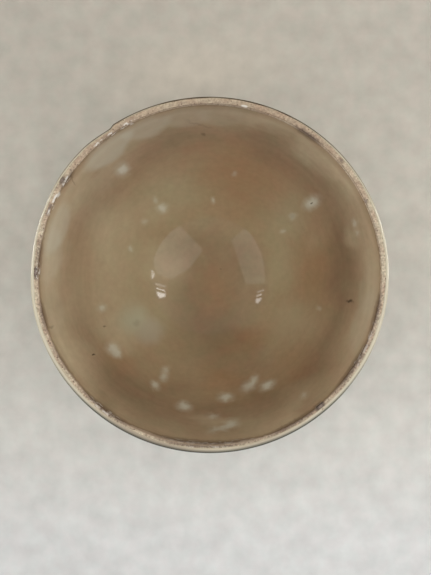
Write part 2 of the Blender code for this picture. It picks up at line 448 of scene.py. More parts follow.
def outer_coat(material):
    """The glaze outside: a smooth roll at the lip, wheel marks, and a thick hem that ran in waves."""
    stretch = between_heights(outside_outline(), HEM_HEIGHT, CURL_START)[::-1]
    clay = resampled(stretch, FACE_RINGS)[::-1]
    above = clay[:, 1] - HEM_HEIGHT
    gathered = np.clip(1 - above / HEM_ROLL_REACH, 0, 1)
    thickness = (GLAZE_THICKNESS + HEM_ROLL * gathered) * smooth(above, *HEM_ROUNDING)
    face_outline = moved_out(clay, BOND_GAP + thickness)[::-1]
    height = face_outline[:, 1]
    above_fade = smooth(height, HEM_HEIGHT, HEM_HEIGHT + OUTSIDE_RIDGE_FADE)
    below_fade = smooth(SHOULDER_HEIGHT - height, 0, OUTSIDE_RIDGE_FADE)
    ridges = wheel_marks(face_outline, OUTSIDE_RIDGE_SPACING, OUTSIDE_RIDGE)
    face = around(face_outline)
    face[..., 0] += ridges * above_fade[:, None] * below_fade[:, None]

    near_side = -np.sin(TURN)
    edge_radius = OUTER_EDGE - OUTER_EDGE_DRIFT * near_side
    edge_radius = edge_radius + OUTER_EDGE_WAVE * ripple((4, 7, 11, 16, 25, 38), seed=8)
    bend, shoulder = around(((RIM_RADIUS, LIP_TOP), (RIM_RADIUS, ROLL_END)))
    rolled = curl(on_crown(edge_radius, EDGE_LIFT), bend, shoulder)

    under_edge = on_crown(edge_radius - 2 * BITE, -BITE)
    back = around(resampled(moved_out(clay, BOND_GAP - BITE), BACK_RINGS))

    rings = settled(run_down(np.concatenate((rolled, face, back, under_edge[None]))))
    hidden = np.zeros((BACK_RINGS + 1, TURN_STEPS))
    lengths = distance_along(face)
    from_rim = (rolled[..., 0] - RIM_RADIUS, np.maximum(SHOULDER_HEIGHT - face[..., 1], 0))
    from_hem = (np.repeat(lengths[-1:], CURL_RINGS, axis=0), lengths[-1] - lengths)
    marks = {
        "below_rim": np.concatenate((*from_rim, hidden + SHOULDER_HEIGHT)),
        "above_hem": np.concatenate((*from_hem, hidden)),
    }
    add_piece("outer_glaze_coat", rings, True, material, "outer_glaze", marks)


def trimmed_foot(material):
    """The foot ring: luted under the floor, trimmed with a loop tool, its lower edges rubbed smooth."""
    top_inner = FOOT_RADIUS - FOOT_WALL
    outer, inner = FOOT_RADIUS - FOOT_DRAFT, top_inner + FOOT_DRAFT
    top = SEAT_HEIGHT + BITE
    corners = (
        (FOOT_RADIUS - SEAM_DEPTH, top),
        (FOOT_RADIUS, FOOT_HEIGHT - SEAM_DEPTH),
        (outer, FOOT_BEVEL),
        (outer - FOOT_BEVEL, 0),
        (inner + FOOT_BEVEL / 2, 0),
        (inner, FOOT_BEVEL / 2),
        (top_inner, top),
    )
    outline = resampled(softened(corners, FOOT_EDGE_WEAR), FOOT_RINGS)
    side = smooth(outline[:, 1], *TRIM_HEIGHTS)[:, None]
    rings = pushed_in(outline, -side * trim_marks(outline, TRIM_SPACING, TRIM_RIDGE))
    rings[..., 1] = np.maximum(rings[..., 1], 0)
    add_piece("trimmed_foot", rings, True, material, "foot_ring")


def linear(hex_colour):
    """A colour written as sRGB hex, as the linear values that shaders take."""
    shares = [int(hex_colour[place:place + 2], 16) / 255 for place in (1, 3, 5)]
    return (*[s / 12.92 if s <= 0.04045 else ((s + 0.055) / 1.055)**2.4 for s in shares], 1)


def add(tree, kind, inputs, output=None, stops=(), **settings):
    """Adds a node and returns one of its outputs, or else the first.

    Inputs are values or outputs. Stops are the places and colours of a ramp, in rising order.
    """
    node = tree.nodes.new("ShaderNode" + kind)
    for name, value in settings.items():
        setattr(node, name, value)
    named = {socket.name: socket for socket in node.inputs if socket.enabled}
    for key, value in inputs.items():
        socket = node.inputs[key] if isinstance(key, int) else named[key]
        if isinstance(value, bpy.types.NodeSocket):
            tree.links.new(value, socket)
        else:
            socket.default_value = value
    for index, (stop, shade) in enumerate(stops):
        elements = node.color_ramp.elements
        element = elements[index] if index < len(elements) else elements.new(stop)
        element.position = stop
        element.color = linear(shade)
    return node.outputs[output] if output else next(o for o in node.outputs if o.enabled)


def new_finish(name, roughness, ior):
    """A material with the values that are the same all over it, its node tree and its shader."""
    material = bpy.data.materials.new(name)
    material.use_nodes = True
    shader = material.node_tree.nodes["Principled BSDF"]
    shader.inputs["Roughness"].default_value = roughness
    shader.inputs["IOR"].default_value = ior
    return material, material.node_tree, shader


ANY_HEIGHT = 1000  # metres, so far up and down that an oval's cover doesn't change with height


def cover_of(tree, place, ovals, softness):
    """How far a point is covered by ovals, each with a soft edge that is a share of its half width.

    An oval is its centre, seen from above, its length and width (mm), its turn (degrees) and strength.
    It lies at every height.
    """
    cover = 0.0
    for east, north, length, width, turn, strength in ovals:
        inside = add(tree, "Mapping", {
            "Vector": place,
            "Location": (east * MM, north * MM, 0),
            "Rotation": (0, 0, math.radians(turn)),
            "Scale": (length / 2 * MM, width / 2 * MM, ANY_HEIGHT),
        }, vector_type="TEXTURE")
        depth = add(tree, "TexGradient", {"Vector": inside}, output="Fac", gradient_type="SPHERICAL")
        oval = add(tree, "MapRange", {
            "Value": depth, "From Max": softness, "To Max": strength,
        }, interpolation_type="SMOOTHSTEP")
        cover = add(tree, "Math", {0: oval, 1: cover}, operation="ADD", use_clamp=True)
    return cover


def on_lip(radius, width, stretches):
    """Ovals that lie along the lip, with their middle at a radius (mm)."""
    return [
        (
            radius * math.cos(math.radians(angle)),
            radius * math.sin(math.radians(angle)),
            width,
            length,
            angle,
            strength,
        )
        for angle, length, strength in stretches
    ]


def drifted(tree, place, grain, drift):
    """The place moved about sideways by soft noise, so that what is drawn there has no ruled outline."""
    billow = add(tree, "TexNoise", {"Vector": place, "Scale": 1 / grain, "Detail": 2.5}, output="Color")
    centred = add(tree, "VectorMath", {0: billow, 1: (0.5, 0.5, 0.5)}, operation="SUBTRACT")
    shift = add(tree, "VectorMath", {0: centred, 1: (drift, drift, 0)}, operation="MULTIPLY")
    return add(tree, "VectorMath", {0: place, 1: shift}, operation="ADD")


def wavering(tree, place, size, detail, low, high):
    """Soft noise between two values, in waves of a size."""
    noise = add(tree, "TexNoise", {"Vector": place, "Scale": 1 / size, "Detail": detail})
    return add(tree, "MapRange", {"Value": noise, "To Min": low, "To Max": high})


def patches(tree, place, size, detail, softness, shades):
    """Soft patches of two shades, in waves of a size."""
    noise = add(tree, "TexNoise", {"Vector": place, "Scale": 1 / size, "Detail": detail})
    share = add(tree, "MapRange", {"Value": noise, "From Min": 0.5 - softness, "From Max": 0.5 + softness})
    first, second = [linear(shade) for shade in shades]
    return add(tree, "Mix", {"Factor": share, "A": first, "B": second}, data_type="RGBA")


def specks(tree, place, spacing, outer, inner, strength):
    """How far iron specks cover a place. Their soft edges lie between two shares of their spacing."""
    cells = add(tree, "TexVoronoi", {"Vector": place, "Scale": 1 / spacing})
    return add(tree, "MapRange", {"Value": cells, "From Min": outer, "From Max": inner, "To Max": strength})


def crumbs_along_lip(tree, place):
    """Noise in crumbs that are drawn out along the lip, about 0.5 on average."""
    along_lip = add(tree, "Mapping", {
        "Vector": place, "Scale": (LIP_CRUMB_STRETCH, LIP_CRUMB_STRETCH, 1),
    })
    return add(tree, "TexNoise", {"Vector": along_lip, "Scale": 1 / LIP_CRUMB, "Detail": 3})


def covered(tree, colour, covers):
    """The colour with shades laid over it in turn, each with how far it covers what lies under it."""
    for cover, shade in covers:
        colour = add(tree, "Mix", {"Factor": cover, "A": colour, "B": linear(shade)}, data_type="RGBA")
    return colour


def shaded(tree, colour, factors):
    """The colour made lighter or darker by each of the factors."""
    for factor in factors:
        colour = add(tree, "Mix", {
            "Factor": 1.0, "A": colour, "B": factor,
        }, data_type="RGBA", blend_type="MULTIPLY")
    return colour


def dress(tree, shader, colour, relief, strength, depth):
    """Gives a shader its colour and a fine relief."""
    bump = add(tree, "Bump", {"Height": relief, "Strength": strength, "Distance": depth})
    tree.links.new(colour, shader.inputs["Base Color"])
    tree.links.new(bump, shader.inputs["Normal"])


# Clouds in the inner glaze. Each oval: centre east and north, length, width (mm), turn (degrees), strength.
RUST_CLOUDS = (
    (12, 40, 62, 34, -12, 0.72),
    (11, 24, 28, 28, 0, 0.2),
    (-47, 4, 46, 16, 86, 0.7),
    (40, 2, 46, 24, 88, 0.7),
    (-36, -30, 26, 16, -40, 0.55),
    (12, -26, 30, 18, 10, 0.8),
    (5, -39, 42, 18, -4, 0.75),
    (33, -35, 34, 20, 35, 0.55),
    (2, -4, 26, 38, 0, 0.6),
)
OLIVE_CLOUDS = (
    (-30, 10, 50, 26, 80, 0.6),
    (-15, 30, 44, 28, 20, 0.75),
    (28, 21, 34, 24, 70, 0.75),
    (27, 4, 26, 20, 90, 0.6),
    (-24, -14, 36, 30, 0, 0.5),
    (-5, -36, 20, 16, 0, 0.7),
    (32, -17, 24, 20, 30, 0.6),
)
SMOKY_CLOUDS = (
    (-31, -42, 50, 18, -36, 0.5),
    (-37, -45, 16, 8, -40, 0.5),
    (-9, -18, 30, 22, 0, 0.45),
    (0, -50, 40, 14, 0, 0.4),
    (48.5, 5, 60, 17, 88, 0.72),
    (38, -34, 40, 14, 45, 0.5),
    (22, 46, 50, 13, -24, 0.57),
    (-10, 50, 34, 10, 10, 0.5),
    (-42, 24, 38, 9, 58, 0.15),
    (2, -28, 44, 30, 0, 0.6),
    (7, -20, 36, 24, 0, 0.45),
    (3, -15, 22, 14, 0, 0.25),
    (40, 33, 30, 10, -50, 0.3),
    (-14, -41, 26, 14, 0, 0.45),
    (35, -45, 28, 9, 46, 0.5),
    (46, -33, 34, 9, 55, 0.15),
    (16, -42, 26, 10, 8, 0.5),
    (18, -34, 30, 16, 25, 0.35),
)
PALE_CLOUDS = (
    (-18, 4, 28, 26, 0, 0.55),
    (-40, -6, 70, 34, 90, 0.65),
    (-51, -6, 46, 14, 88, 0.35),
    (-39, 18, 46, 30, 70, 0.62),
    (-35, -21, 24, 16, -40, 0.35),
    (-50.5, -26, 28, 10, -62, 0.5),
    (-44, -31, 26, 12, -52, 0.35),
    (-54.5, 10, 46, 9, 82, 0.9),
    (56, 4, 52, 6, 90, 0.2),
    (37, 43, 38, 9, -50, 0.5),
    (18, 53, 36, 8, -18, 0.85),
    (3, -51.5, 36, 8, 0, 0.9),
    (24, -52, 22, 6, 24, 0.35),
    (32, -41, 26, 10, 38, 0.3),
    (51.4, 15, 20, 6, 103, 0.5),
    (40, 13, 16, 10, 80, 0.25),
    (46.5, 32, 24, 8, -60, 0.6),
    (-35, 37, 30, 10, 44, 0.45),
    (-22, 26, 20, 14, 20, 0.3),
    (-47.5, 26, 24, 9, 62, 0.4),
    (-30, -25, 18, 12, -30, 0.35),
)

# One large healed patch: greenish on one side, mauve on the other, with a rusty dot in it
GREEN_PATCH = (
    (-30.2, -15.8, 18, 16, 60, 0.55),
    (-27, -19, 19, 16, -40, 0.45),
)
MAUVE_PATCH = (
    (-23.3, -21.5, 14, 14, 0, 0.55),
)

# Milky spots, where bubbles healed over, in the same order of values. Each has a faint rusty halo.
MILKY_SPOTS = (
    (-31.6, 38.5, 5.9, 4.0, 36, 0.60),
    (-18.7, 26.7, 5.2, 4.1, 15, 0.58),
    (37.7, 27.0, 6.2, 5.5, 30, 0.70),
    (28.2, 17.6, 2.7, 2.5, 0, 0.30),
    (-36.2, -26.9, 5.6, 4.9, -40, 0.62),
    (-34.4, -29.0, 4.7, 3.3, -50, 0.50),
    (-40.8, -12.0, 3.4, 3.8, 0, 0.45),
    (-16.9, -35.7, 4.1, 3.4, 0, 0.32),
    (-17.4, -38.0, 4.4, 3.7, 0, 0.42),
    (-20.4, -40.4, 4.9, 2.8, -35, 0.52),
    (-9.3, -47.7, 6.7, 3.3, -12, 0.65),
    (1.1, -50.8, 5.9, 2.1, 0, 0.34),
    (6.0, -45.0, 6.7, 3.4, 4, 0.60),
    (14.6, -41.0, 8.1, 4.1, 28, 0.48),
    (16.6, -38.8, 5.2, 3.3, 50, 0.40),
    (21.3, -40.5, 7.1, 3.1, 30, 0.66),
    (7.6, -52.6, 6.7, 3.0, 12, 0.58),
    (3.2, -54.0, 10.4, 2.1, 10, 0.40),
    (33.3, -42.3, 4.1, 1.9, 42, 0.26),
    (41.0, -12.0, 2.1, 2.7, 0, 0.20),
    (51.1, 18.4, 4.0, 1.6, 108, 0.30),
    (52.0, 15.0, 3.3, 1.5, 105, 0.25),
    (-21.0, 29.5, 3.0, 3.0, 0, 0.24),
    (-25.5, 21.5, 3.7, 3.0, 40, 0.22),
    (-31.0, 11.0, 2.4, 3.7, 0, 0.28),
    (1.0, 30.0, 2.4, 3.1, 0, 0.36),
    (9.3, 39.0, 2.7, 2.5, 0, 0.20),
    (31.4, 22.8, 3.4, 3.4, 0, 0.30),
)
DARK_SPECKS = (
    (50.3, -9.2, 3.2, 1.5, -8, 0.8),
    (-42.0, -28.5, 1.1, 1.1, 0, 0.9),
    (-39.5, -18.8, 1.4, 1.4, 0, 0.55),
    (-54.3, -17.8, 2.0, 1.6, 0, 0.3),
    (-2.2, 51.0, 2.4, 1.0, -20, 0.35),
    (-3.6, 53.3, 15.0, 0.9, -10, 0.16),
    (37.7, 27.0, 1.1, 1.1, 0, 0.8),
    (-28.6, -18.0, 4.0, 4.0, 0, 0.16),
    (4.2, 3.4, 1.2, 0.9, 0, 0.35),
    (31.4, 22.8, 2.2, 2.2, 0, 0.16),
    (-46.9, 32.6, 5.0, 0.6, 100, 0.3),
)

# Stretches of the lip: angle (degrees), length round the lip (mm), strength
BURNT_STRETCHES = (
    (55, 16, 1.0),
    (88, 60, 0.2),
    (12, 30, 0.15),
    (-13, 22, 1.0),
    (-32, 34, 1.0),
    (-60, 34, 0.85),
    (-92, 64, 0.85),
    (-128, 30, 0.9),
    (-150, 18, 0.4),
    (-166, 15, 0.8),
    (175, 20, 0.7),
    (146, 10, 0.8),
    (124, 24, 0.35),
)
MILKY_STRETCHES = (
    (129, 25, 0.7),
    (113, 22, 0.5),
    (98, 20, 0.25),
    (86, 20, 0.15),
    (163, 24, 0.5),
    (173, 26, 0.3),
    (-168, 22, 0.15),
    (-5, 22, 0.12),
    (-17, 28, 0.22),
)
RUBBED_STRETCHES = (
    (-96, 92, 1.0),
    (-150, 40, 0.35),
    (-40, 36, 0.3),
    (178, 50, 0.3),
)
# Stretches of painted shade on the outer coat's rim, on the near side
NEAR_SHADE_STRETCHES = (
    (-110, 80, 0.9),
    (-72, 36, 0.4),
)
# Stretches of the inner edge where broken glaze has painted glints, in light grey
GLINT_FLAKE_STRETCHES = (
    (155, 11, 0.9),
    (130, 5, 0.9),
    (124.3, 4.5, 0.9),
    (118.5, 7.5, 1.0),
    (78, 3.5, 0.9),
    (147, 5, 0.7),
    (179, 7, 0.8),
    (-24, 26, 0.35),
    (-90, 50, 0.3),
    (-128, 16, 0.5),
)

# How far such stretches reach across the lip, and the radius of their middle if it isn't the inner edge (mm)
BURNT_ACROSS = 12
RUBBED_ACROSS = 16
GLINT_FLAKE_ACROSS = 10
NEAR_SHADE_ACROSS = 16
NEAR_SHADE_RADIUS = 60
# Broken glaze on the clay, with its glints painted in light grey
GLINT_FLAKE_WIDTH = 0.9
GLINT_FLAKE_RADIUS = 58.4  # where flakes of glaze cling to the clay
MILKY_WIDTH = 5.4
MILKY_RADIUS = 55.4  # where the glaze ran thin and milky under the lip

# Grain of the finishes, and how far what is drawn on them drifts with it
CLOUD_GRAIN = 17 * MM
CLOUD_DRIFT = 11 * MM
CLOUD_WANDER = 5 * MM  # how far the bands of colour wander up and down the wall
MILKY_GRAIN = 14 * MM
MILKY_DRIFT = 2.4 * MM
SPOT_GRAIN = 2.6 * MM
SPOT_DRIFT = 1.8 * MM
CHIP_GRAIN = 0.9 * MM
CHIP_DRIFT = 1.0 * MM
TINT_GRAIN = 7 * MM  # blushes of rose and green in the glaze
RUN_WIDTH = 3 * MM  # streaks that the glaze left as it ran down the wall
RUN_STRETCH = 0.12  # patterns with a stretch are drawn out that way: lower is longer
FINGER_RING = 1.4 * MM  # fine rings round the wall, which fade in up it
FINGER_RING_STRETCH = 0.05
FINGER_RING_START = WELL_HEIGHT + 12 * MM
FINGER_RING_FULL = WELL_HEIGHT + 30 * MM
MOTTLE = 2.2 * MM
GLAZE_RIPPLE = 3.0 * MM
LIP_CRUMB = 0.7 * MM
LIP_CRUMB_STRETCH = 0.35
SAND_GRIT = 0.7 * MM  # real grit is about 0.3 mm, drawn coarser so that it shows
CLAY_PATCH = 4 * MM
IRON_SPACING = 1.4 * MM
FOOT_GRIT = 0.6 * MM  # drawn coarser in the same way
FOOT_PATCH = 5 * MM
FOOT_IRON_SPACING = 1.8 * MM
ASH_CLOUD = 9 * MM
ASH_CLOUD_STRETCH = 0.35
ASH_IRON_SPACING = 5 * MM

# Edge of the inner coat: lengths down from it
RUBBED_WIDTH = 1.6 * MM  # where use rubbed the glaze off
RAGGED = 0.3 * MM
BURNT_WIDTH = 3.4 * MM
LEAST_BURNT_WIDTH = 1.4 * MM
BURNT_OVERLAP = 1.6 * MM
SCORCHED_WIDTH = 5 * MM
BARE_SOFTNESS = 0.15 * MM
# Painted glints on broken glaze along the edge
GLINT_FLAKE_FULL = 0.8 * MM
GLINT_FLAKE_END = 1.6 * MM

# Bare clay: where it starts to darken, and where it is darkest
# Painted shade: the clay darkens towards the far side
FAR_SHADE_START = 8 * MM  # towards the far side
FAR_SHADE_FULL = 45 * MM
TOAST_START = 40 * MM  # down towards the foot
TOAST_FULL = 20 * MM
SCORCH_START = 59.6 * MM  # across the lip towards the inner coat
SCORCH_FULL = 58.0 * MM
CHAR_START = 59.4 * MM
CHAR_FULL = 58.2 * MM
SCORCH_BLUR = 0.8 * MM
BARE_LIP = LIP_BASE - 1 * MM  # clay above this height counts as the lip

# Rim of the outer coat: lengths down from its outermost edge, below 0 on top of the lip
CREAM_START = 3 * MM
CREAM_FULL = -0.3 * MM
THIN_START = -1.0 * MM
THIN_FULL = -1.8 * MM
RIM_BLUR = 0.5 * MM
# The dark line is painted shade along the outermost edge of the outer coat
RIM_LINE_TOP = -0.6 * MM  # of the dark line
RIM_LINE_NEAR_TOP = -1.4 * MM  # on the near side
RIM_LINE_FULL = -0.4 * MM
RIM_LINE_FADE = 0.3 * MM
RIM_LINE_END = 1.1 * MM

# How far to the near or the far side the line of painted shade changes
RIM_SIDE = 20 * MM
RIM_DARKEST = 45 * MM
RIM_NEAREST = 50 * MM

# Colours of the inner glaze from the middle of the well (0) to the lip (1), by height. The darker band at
# 0.60 is partly the glaze's own colour and partly painted shade on the wall.
WELL_TO_LIP = (
    (0.00, "#7f6b51"),
    (0.10, "#968569"),
    (0.30, "#9c896d"),
    (0.48, "#988267"),
    (0.60, "#8c755d"),
    (0.70, "#968067"),
    (0.80, "#a29075"),
    (0.92, "#a9977d"),
    (1.00, "#9b886f"),
)


def clouded_glaze(tree, place):
    """Colour of the inner glaze: bands by height, with clouds that drift over them."""
    height = add(tree, "SeparateXYZ", {"Vector": place}, output="Z")
    wander = wavering(tree, place, CLOUD_GRAIN, 2, -CLOUD_WANDER, CLOUD_WANDER)
    level = add(tree, "Math", {0: height, 1: wander}, operation="ADD")
    share = add(tree, "MapRange", {"Value": level, "From Min": WELL_HEIGHT, "From Max": LIP_TOP})
    bands = add(tree, "ValToRGB", {"Fac": share}, stops=WELL_TO_LIP)
    cloudy = drifted(tree, place, CLOUD_GRAIN, CLOUD_DRIFT)
    return covered(tree, bands, [(cover_of(tree, cloudy, ovals, 1.0), shade) for ovals, shade in (
        (OLIVE_CLOUDS, "#a2987b"),
        (RUST_CLOUDS, "#937052"),
        (SMOKY_CLOUDS, "#755f4a"),
        (PALE_CLOUDS, "#b8a98d"),
    )])


def streaked_glaze(tree, place, colour):
    """The glaze with blushes of rose and green, runs down the wall, fine rings round it, and mottle."""
    tint = patches(tree, place, TINT_GRAIN, 2, 0.15, ("#9f8066", "#908a69"))
    tinted = add(tree, "Mix", {"Factor": 0.2, "A": colour, "B": tint}, data_type="RGBA")
    downward = add(tree, "Mapping", {"Vector": place, "Scale": (1, 1, RUN_STRETCH)})
    streaks = wavering(tree, downward, RUN_WIDTH, 2, 0.95, 1.05)
    turned = add(tree, "Mapping", {
        "Vector": place, "Scale": (FINGER_RING_STRETCH, FINGER_RING_STRETCH, 1),
    })
    ring = wavering(tree, turned, FINGER_RING, 3, -0.5, 0.5)
    height = add(tree, "SeparateXYZ", {"Vector": place}, output="Z")
    steep = add(tree, "MapRange", {
        "Value": height, "From Min": FINGER_RING_START, "From Max": FINGER_RING_FULL, "To Max": 0.13,
    })
    rings = add(tree, "Math", {0: ring, 1: steep, 2: 1.0}, operation="MULTIPLY_ADD")
    flecks = wavering(tree, place, MOTTLE, 3, 0.9, 1.1)
    return shaded(tree, tinted, (streaks, rings, flecks))


def spotted_glaze(tree, place, spotty, colour):
    """The glaze with a milky band under the lip, one healed patch, healed bubbles and iron specks."""
    milky = drifted(tree, place, MILKY_GRAIN, MILKY_DRIFT)
    band = on_lip(MILKY_RADIUS, MILKY_WIDTH, MILKY_STRETCHES)
    halos, fringes, cores = [
        [
            (east, north, grown * length, grown * width, turn, share * strength)
            for east, north, length, width, turn, strength in MILKY_SPOTS
        ]
        for grown, share in ((2.7, 0.25), (1.45, 0.8), (0.85, 0.55))
    ]
    return covered(tree, colour, [(cover_of(tree, *drawn), shade) for *drawn, shade in (
        (milky, band, 0.45, "#b5ad99"),
        (spotty, GREEN_PATCH, 0.8, "#a8a48c"),
        (spotty, MAUVE_PATCH, 0.7, "#a59c8b"),
        (spotty, halos, 1.3, "#96704e"),
        (spotty, fringes, 1.0, "#c2c1b0"),
        (spotty, cores, 0.8, "#d0d1c4"),
        (spotty, DARK_SPECKS, 0.9, "#33281e"),
    )])


def burnt_edge(tree, place, spotty, colour):
    """The glaze burnt dark along its edge and rubbed off there, with painted glints in light grey on broken
    glaze at its edge, and how far it is rubbed off.
    """
    edge_radius = INNER_EDGE / MM
    below_lip = add(tree, "Attribute", {}, output="Fac", attribute_name="below_lip")
    crumbs = crumbs_along_lip(tree, place)
    rubbed = cover_of(tree, place, on_lip(edge_radius, RUBBED_ACROSS, RUBBED_STRETCHES), 0.5)
    worn = add(tree, "MapRange", {"Value": rubbed, "To Max": RUBBED_WIDTH})
    ragged = add(tree, "MapRange", {
        "Value": crumbs, "From Min": 0.3, "From Max": 0.7, "To Min": -RAGGED, "To Max": RAGGED,
    })
    bare_to = add(tree, "Math", {0: worn, 1: ragged}, operation="ADD")
    past_edge = add(tree, "Math", {0: below_lip, 1: bare_to}, operation="SUBTRACT")
    bare = add(tree, "MapRange", {"Value": past_edge, "From Min": BARE_SOFTNESS, "From Max": -BARE_SOFTNESS})
    scorched = add(tree, "MapRange", {
        "Value": past_edge, "From Min": SCORCHED_WIDTH, "From Max": 0, "To Max": 0.3,
    })

    patchy = cover_of(tree, spotty, on_lip(edge_radius, BURNT_ACROSS, BURNT_STRETCHES), 0.8)
    width = add(tree, "MapRange", {"Value": patchy, "To Min": LEAST_BURNT_WIDTH, "To Max": BURNT_WIDTH})
    strength = add(tree, "MapRange", {"Value": patchy, "To Min": 0.38, "To Max": 0.95})
    below = add(tree, "MapRange", {
        "Value": past_edge, "From Min": width, "From Max": 0, "To Max": strength,
    })
    above = add(tree, "MapRange", {"Value": past_edge, "From Min": -BURNT_OVERLAP, "From Max": 0})
    burnt = add(tree, "Math", {0: below, 1: above}, operation="MULTIPLY")

    chipped = add(tree, "MapRange", {"Value": crumbs, "From Min": 0.5, "From Max": 0.6})
    on_edge = add(tree, "MapRange", {"Value": past_edge, "From Min": GLINT_FLAKE_END, "From Max": GLINT_FLAKE_FULL})
    # Painted glints in light grey on broken glaze
    flaked_glints = cover_of(tree, place, on_lip(edge_radius, GLINT_FLAKE_ACROSS, GLINT_FLAKE_STRETCHES), 0.5)
    for limit in (chipped, on_edge):
        flaked_glints = add(tree, "Math", {0: flaked_glints, 1: limit}, operation="MULTIPLY")
    covers = ((scorched, "#7d6248"), (bare, "#a8947f"), (burnt, "#4b3b31"), (flaked_glints, "#c9c4bc"))
    return covered(tree, colour, covers), bare


def brown_olive_glaze():
    """Tea-bowl glaze, poured in and fired to glass: wet gloss over drifting clouds of rust and olive.

    It turns milky where it ran thin under the lip and where bubbles healed over, and burnt to a ragged
    dark line along its edge. Where it is rubbed off, the clay shows dry.
    """
    gloss, dry = 0.06, 0.7
    material, tree, shader = new_finish("glossy_brown_olive_glaze", gloss, 1.5)
    place = add(tree, "TexCoord", {}, output="Object")
    spotty = drifted(tree, place, SPOT_GRAIN, SPOT_DRIFT)
    colour = clouded_glaze(tree, place)
    colour = streaked_glaze(tree, place, colour)
    colour = spotted_glaze(tree, place, spotty, colour)
    colour, bare = burnt_edge(tree, place, spotty, colour)
    dryness = add(tree, "MapRange", {"Value": bare, "To Min": gloss, "To Max": dry})
    tree.links.new(dryness, shader.inputs["Roughness"])
    swell = add(tree, "TexNoise", {"Vector": place, "Scale": 1 / GLAZE_RIPPLE, "Detail": 1})
    dress(tree, shader, colour, swell, 0.25, 0.03 * MM)
    return material


def worn_lip(tree, place, sand, colour):
    """The clay of the lip: scorched beside the inner coat, with dark chips, and light grey flecks of broken
    glaze that are painted glints.
    """
    height = add(tree, "SeparateXYZ", {"Vector": place}, output="Z")
    near_lip = add(tree, "MapRange", {"Value": height, "From Min": BARE_LIP, "From Max": LIP_BASE})
    level = add(tree, "VectorMath", {0: place, 1: (1, 1, 0)}, operation="MULTIPLY")
    radius = add(tree, "VectorMath", {0: level}, output="Value", operation="LENGTH")
    uneven = add(tree, "MapRange", {"Value": sand, "To Min": -SCORCH_BLUR, "To Max": SCORCH_BLUR})
    blurred = add(tree, "Math", {0: radius, 1: uneven}, operation="ADD")
    scorched = add(tree, "MapRange", {
        "Value": blurred, "From Min": SCORCH_START, "From Max": SCORCH_FULL, "To Max": 0.15,
    })
    charred = add(tree, "MapRange", {
        "Value": blurred, "From Min": CHAR_START, "From Max": CHAR_FULL, "To Max": 0.8,
    })
    stretch = cover_of(tree, place, on_lip(INNER_EDGE / MM, BURNT_ACROSS, BURNT_STRETCHES), 0.8)

    crumbly = drifted(tree, place, CHIP_GRAIN, CHIP_DRIFT)
    shadows, floors = [
        [
            oval
            for angle, middle, length, width, _, darkness in LIP_CHIPS
            for oval in on_lip(middle, width * grown, ((angle, length * grown, darkness),))
        ]
        for grown in (1.6, 0.9)
    ]
    loose = add(tree, "MapRange", {
        "Value": crumbs_along_lip(tree, place), "From Min": 0.48, "From Max": 0.56,
    })
    # Painted glints in light grey on broken glaze, on the clay
    flakes_and_glints = cover_of(tree, place, on_lip(GLINT_FLAKE_RADIUS, GLINT_FLAKE_WIDTH, GLINT_FLAKE_STRETCHES), 0.4)
    return covered(tree, colour, [
        (add(tree, "Math", {0: cover, 1: limit}, operation="MULTIPLY"), shade) for cover, limit, shade in (
            (scorched, near_lip, "#7f6a5a"),
            (charred, stretch, "#55433a"),
            (cover_of(tree, crumbly, shadows, 0.7), near_lip, "#43352e"),
            (cover_of(tree, crumbly, floors, 0.9), near_lip, "#84776f"),
            (add(tree, "Math", {0: flakes_and_glints, 1: loose}, operation="MULTIPLY"), near_lip, "#d3cfc8"),
        )
    ])


def bare_stoneware():
    """Unglazed stoneware, thrown and fired: matt pinkish beige with sand, iron specks and greyed chips.

    It is darker on the far side, which is painted shade, and toasted towards the foot.
    """
    material, tree, shader = new_finish("bare_sandy_stoneware", 0.8, 1.5)
    place = add(tree, "TexCoord", {}, output="Object")
    colour = patches(tree, place, CLAY_PATCH, 3, 0.15, ("#af9b87", "#c4b9a3"))
    sand = add(tree, "TexNoise", {"Vector": place, "Scale": 1 / SAND_GRIT, "Detail": 3})
    grain = add(tree, "MapRange", {
        "Value": sand, "From Min": 0.3, "From Max": 0.7, "To Min": 0.6, "To Max": 1.34,
    })
    colour = shaded(tree, colour, (grain,))
    iron = specks(tree, place, IRON_SPACING, 0.26, 0.12, 0.85)
    north = add(tree, "SeparateXYZ", {"Vector": place}, output="Y")
    # Painted shade: darker towards the far side
    far_shade = add(tree, "MapRange", {
        "Value": north, "From Min": FAR_SHADE_START, "From Max": FAR_SHADE_FULL, "To Max": 0.42,
    })
    height = add(tree, "SeparateXYZ", {"Vector": place}, output="Z")
    toasted = add(tree, "MapRange", {
        "Value": height, "From Min": TOAST_START, "From Max": TOAST_FULL, "To Max": 0.5,
    })
    colour = covered(tree, colour, ((iron, "#5c483c"), (far_shade, "#947f6a"), (toasted, "#b49a7e")))
    colour = worn_lip(tree, place, sand, colour)
    dress(tree, shader, colour, sand, 0.6, 0.12 * MM)
    return material


def trimmed_stoneware():
    """Bare stoneware cut with a loop tool: matt, drier and coarser, with sand dragged out of it."""
    material, tree, shader = new_finish("trimmed_sandy_stoneware", 0.85, 1.5)
    place = add(tree, "TexCoord", {}, output="Object")
    colour = patches(tree, place, FOOT_PATCH, 4, 0.15, ("#ab8f74", "#c8b497"))
    iron = specks(tree, place, FOOT_IRON_SPACING, 0.16, 0.08, 1.0)
    colour = covered(tree, colour, ((iron, "#6b4d3c"),))
    sand = add(tree, "TexNoise", {"Vector": place, "Scale": 1 / FOOT_GRIT, "Detail": 4})
    grain = add(tree, "MapRange", {
        "Value": sand, "From Min": 0.3, "From Max": 0.7, "To Min": 0.75, "To Max": 1.22,
    })
    colour = shaded(tree, colour, (grain,))
    dress(tree, shader, colour, sand, 0.7, 0.15 * MM)
    return material


